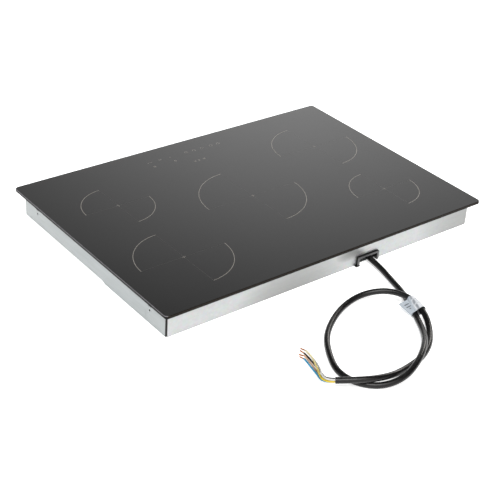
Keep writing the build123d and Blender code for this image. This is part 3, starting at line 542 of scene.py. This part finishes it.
def make_finishes():
    """Material for every CAD node that stays in view, by the record's slot names."""
    return {
        "black_glass": glass_material(),
        "galvanised_sheet": sheet_material(),
        "sealing_bead": rubber("sealing_bead", (0.02, 0.02, 0.02), 0.6),
        "foam_tape": rubber("foam_tape", (0.008, 0.008, 0.008), 0.9),
        "bracket_steel": bare_metal("bracket_steel", (0.60, 0.61, 0.62), 0.4),
        "screw_steel": bare_metal("screw_steel", (0.62, 0.62, 0.60), 0.3, (4, 4, 4)),
        "trim_plastic": trim_material(),
        "carrier_aluminium": bare_metal("carrier_aluminium", (0.72, 0.73, 0.74), 0.38, (0.05, 1, 1)),
        "mica": mica_material(),
        "litz_copper": winding_material(),
        "former_plastic": plastic("former_plastic", (0.42, 0.40, 0.34), 0.55),
        "ferrite": ferrite_material(),
        "sensor_silicone": rubber("sensor_silicone", (0.66, 0.65, 0.60)),
        "cushion_silicone": rubber("cushion_silicone", (0.40, 0.06, 0.04)),
        "lead_sleeve": woven_sleeve_material(),
        "circuit_board": board_material(),
        "heatsink_aluminium": bare_metal("heatsink_aluminium", (0.66, 0.67, 0.69), 0.42, (1, 0.05, 1)),
        "component_black": plastic("component_black", (0.02, 0.02, 0.02), 0.5, 0.03),
        "capacitor_blue": plastic("capacitor_blue", (0.05, 0.10, 0.28), 0.3),
        "choke_core": plastic("choke_core", (0.06, 0.12, 0.06), 0.4, 0.08),
        "blower_plastic": plastic("blower_plastic", (0.03, 0.03, 0.03), 0.5, 0.03),
        "rotor_plastic": plastic("rotor_plastic", (0.05, 0.05, 0.05), 0.45),
        "standoff_nylon": plastic("standoff_nylon", (0.75, 0.74, 0.68), 0.5),
        "tray_plastic": plastic("tray_plastic", (0.70, 0.70, 0.68), 0.5),
        "spring_steel": bare_metal("spring_steel", (0.66, 0.66, 0.66), 0.25, (3, 3, 3)),
        "display_plastic": plastic("display_plastic", (0.74, 0.74, 0.72), 0.5),
        "terminal_plastic": plastic("terminal_plastic", (0.74, 0.73, 0.68), 0.48),
        "terminal_wire_sleeve": rubber("terminal_wire_sleeve", (0.20, 0.20, 0.21)),
        "clamp_plastic": plastic("clamp_plastic", (0.10, 0.10, 0.10), 0.5),
        "label_paper": label_material(),
    }


def give(obj, material):
    """The one material of a piece."""
    obj.data.materials.clear()
    obj.data.materials.append(material)


# ---- printed marks on the glass ----
def ribbon(mesh, left, right, closed=False):
    """Closed thin plate between two rows of (x, y) points in millimetres, standing just proud of the glass."""
    levels = (GLASS_TOP - PRINT_SUNK * MM, GLASS_TOP + PRINT_PROUD * MM)
    rows = [[mesh.verts.new((x * MM, y * MM, z)) for x, y in side] for side in (left, right) for z in levels]
    left_low, left_high, right_low, right_high = rows
    count = len(left) if closed else len(left) - 1
    for i in range(count):
        j = (i + 1) % len(left)
        mesh.faces.new((left_high[i], left_high[j], right_high[j], right_high[i]))
        mesh.faces.new((left_low[j], left_low[i], right_low[i], right_low[j]))
        mesh.faces.new((left_low[i], left_low[j], left_high[j], left_high[i]))
        mesh.faces.new((right_low[j], right_low[i], right_high[i], right_high[j]))
    if not closed:
        for k in (0, -1):
            mesh.faces.new((left_low[k], right_low[k], right_high[k], left_high[k]))


def arc(mesh, x, y, radius, width, start, end, steps=48):
    """Part of a ring, from one angle to another in degrees, or a whole ring if they are 360 apart."""
    closed = end - start >= 360
    count = steps if closed else steps + 1
    angles = [math.radians(start + (end - start) * i / steps) for i in range(count)]
    sides = []
    for edge in (radius + width / 2, radius - width / 2):
        sides.append([(x + edge * math.cos(a), y + edge * math.sin(a)) for a in angles])
    ribbon(mesh, sides[0], sides[1], closed)


def stroke(mesh, start, end, width):
    """Straight bar between two points."""
    along = Vector((end[0] - start[0], end[1] - start[1])).normalized() * (width / 2)
    side = Vector((-along.y, along.x))
    left = [(p[0] + side.x, p[1] + side.y) for p in (start, end)]
    right = [(p[0] - side.x, p[1] - side.y) for p in (start, end)]
    ribbon(mesh, left, right)


def printed(name, material, draw):
    """One printed piece, drawn by a function into a mesh."""
    mesh = bmesh.new()
    draw(mesh)
    bmesh.ops.recalc_face_normals(mesh, faces=mesh.faces)
    data = bpy.data.meshes.new(name)
    mesh.to_mesh(data)
    mesh.free()
    obj = bpy.data.objects.new(name, data)
    bpy.context.collection.objects.link(obj)
    give(obj, material)
    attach(obj, BODY)
    return obj


def add_zone_marks(ink, thin_ink):
    """Two opposite quarter rings, a small cross in the middle and hair lines across each zone."""
    for zone, (x, y, diameter) in ZONES.items():
        radius = diameter / 2

        def draw_rings(mesh):
            arc(mesh, x, y, radius, ARC_WIDTH, 90, 180)
            arc(mesh, x, y, radius, ARC_WIDTH, 270, 360)
            stroke(mesh, (x - CROSS_REACH, y), (x + CROSS_REACH, y), CROSS_WIDTH)
            stroke(mesh, (x, y - CROSS_REACH), (x, y - CROSS_WIDTH / 2), CROSS_WIDTH)
            stroke(mesh, (x, y + CROSS_WIDTH / 2), (x, y + CROSS_REACH), CROSS_WIDTH)

        def draw_hairs(mesh):
            reach, gap = radius - 1.5, CROSS_REACH + 1.0
            for sign in (-1, 1):
                stroke(mesh, (x + sign * gap, y), (x + sign * reach, y), HAIR_WIDTH)
                stroke(mesh, (x, y + sign * gap), (x, y + sign * reach), HAIR_WIDTH)

        printed(f"zone_mark_{zone}", ink, draw_rings)
        printed(f"zone_hair_{zone}", thin_ink, draw_hairs)


def add_touch_marks(ink):
    """Generic touch symbols: bars, open rings and dots, without letters or figures."""
    def draw(mesh):
        stroke(mesh, (101, -212), (96.5, -212), 1.1)
        stroke(mesh, (93.5, -212), (89, -212), 1.1)
        stroke(mesh, (74, -213), (66, -213), 0.9)
        stroke(mesh, (73, -211), (67, -211), 0.9)
        arc(mesh, 45.6, -212, 1.0, 0.7, 0, 360, 16)
        for i, x in enumerate((5.3, -13.9, -34.6, -57.1, -76.0)):
            opening = 40 + 15 * (i % 3)
            arc(mesh, x, -212, 3.4, 0.9, 90 + opening, 450 - opening, 28)
            stroke(mesh, (x - 0.8 * (i % 2), -211), (x - 0.8 * (i % 2), -208.4), 0.8)
        for x in (95.7, 45.4):
            arc(mesh, x, -192, 2.0, 0.8, 0, 360, 20)
            stroke(mesh, (x - 2.6, -195), (x + 2.6, -195), 0.8)

    def draw_lit(mesh):
        for x in (12.0, 1.6, -10.8):
            arc(mesh, x, -171.5, 2.0, 1.2, -60, 240, 20)
            stroke(mesh, (x - 1.8, -168.6), (x + 1.8, -168.6), 1.1)

    printed("touch_marks", ink, draw)
    printed("touch_marks_display", ink, draw_lit)


# ---- mains lead ----
def spline_curve(name, points, diameter, material, resolution=10):
    """Round cord along one smooth spline with the route's points as its control points."""
    curve = bpy.data.curves.new(name, "CURVE")
    curve.dimensions = "3D"
    spline = curve.splines.new("NURBS")
    spline.points.add(len(points) - 1)
    for point, place in zip(spline.points, points):
        point.co = (*place, 1.0)
    spline.order_u = 3
    spline.use_endpoint_u = True
    spline.resolution_u = resolution
    curve.resolution_u = resolution
    curve.bevel_depth = diameter / 2
    curve.bevel_resolution = 8
    curve.use_fill_caps = True
    obj = bpy.data.objects.new(name, curve)
    bpy.context.collection.objects.link(obj)
    curve.materials.append(material)
    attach(obj, BODY)
    return obj


def add_power_cord():
    cord = spline_curve("mains_lead", CORD_ROUTE, CORD_DIAMETER, sheath_material(), 14)
    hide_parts("power_cord")


def core_materials():
    """Sleeve of each core, by its CAD node."""
    return {
        "core_earth": earth_material(),
        "core_blue": rubber("sleeve_blue", (0.018, 0.21, 0.36), 0.32),
        "core_grey": rubber("sleeve_grey", (0.50, 0.49, 0.47), 0.38),
        "core_black": rubber("sleeve_black", (0.012, 0.012, 0.012), 0.38),
        "core_brown": brown_material(),
    }


def twisted_strands(name, start, tip, material):
    """Bare conductor from a sleeve's end to a tip: one straight strand with six wound round it, splayed a
    little towards the tip."""
    direction = (tip - start).normalized()
    length = (tip - start).length
    side = direction.cross(Vector((0, 0, 1))).normalized()
    up = side.cross(direction)
    curve = bpy.data.curves.new(name, "CURVE")
    curve.dimensions = "3D"
    curve.bevel_depth = STRAND_DIAMETER / 2
    curve.bevel_resolution = 3
    curve.use_fill_caps = True
    for strand in range(STRAND_COUNT):
        spline = curve.splines.new("POLY")
        spline.points.add(STRAND_STEPS)
        reach = length * (1.0 - 0.05 * (strand % 3))
        for i in range(STRAND_STEPS + 1):
            part = i / STRAND_STEPS
            radius = 0.0 if strand == 0 else STRAND_DIAMETER * (1.0 + 0.12 * part * (strand % 3))
            angle = math.radians(60 * strand + STRAND_TWIST * part)
            offset = side * (radius * math.cos(angle)) + up * (radius * math.sin(angle))
            spline.points[i].co = (*(start + direction * (reach * part) + offset), 1.0)
    obj = bpy.data.objects.new(name, curve)
    bpy.context.collection.objects.link(obj)
    curve.materials.append(material)
    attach(obj, BODY)
    return obj


def add_cores():
    """Five sleeved cores out of the cut sheath, each with its stripped copper end."""
    copper = Finish("bare_copper", (0.36, 0.115, 0.006), 0.55, 0.30).mottle(0.15, 2.0).grain(0.01, 0.4)
    copper = copper.set(Specular_IOR_Level=0.08).material
    materials = core_materials()
    for name, (length, tip, route) in CORES.items():
        core = spline_curve(name.replace("core", "sleeved_core"), route, CORE_DIAMETER, materials[name], 8)
        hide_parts(name)
        end_point = Vector(route[-1])
        start = end_point - (end_point - Vector(route[-2])).normalized() * 0.0005
        end = twisted_strands(name.replace("core", "copper"), start, Vector(tip), copper)
    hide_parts("copper_ends")


def main():
    add_camera()
    add_power_cord()
    add_cores()
    add_world()
    add_sun("sun_overhead", (0.27, 0.33, 0.90), 2.8, 40, (1.0, 1.0, 1.0))
    add_sun("sun_rim", (-0.82, -0.36, 0.45), 0.8, 20, (1.0, 0.96, 0.92))
    add_sun("sun_right", (1.0, -0.2, 0.9), 0.35, 60, (0.75, 0.92, 1.0))
    add_sun("sun_rear", (0.2, 1.0, 0.9), 1.1, 60, (1.0, 0.97, 0.93))
    add_floor()
    finishes = make_finishes()
    slots = {part["node"]: part["material_slot"] for part in frame["record"]["subparts"]}
    for name, obj in NODES.items():
        if slots[name] in finishes:
            give(obj, finishes[slots[name]])
    add_zone_marks(print_material(), hair_material())
    add_touch_marks(print_material())


main()
bpy.context.scene.view_settings.view_transform = "Standard"
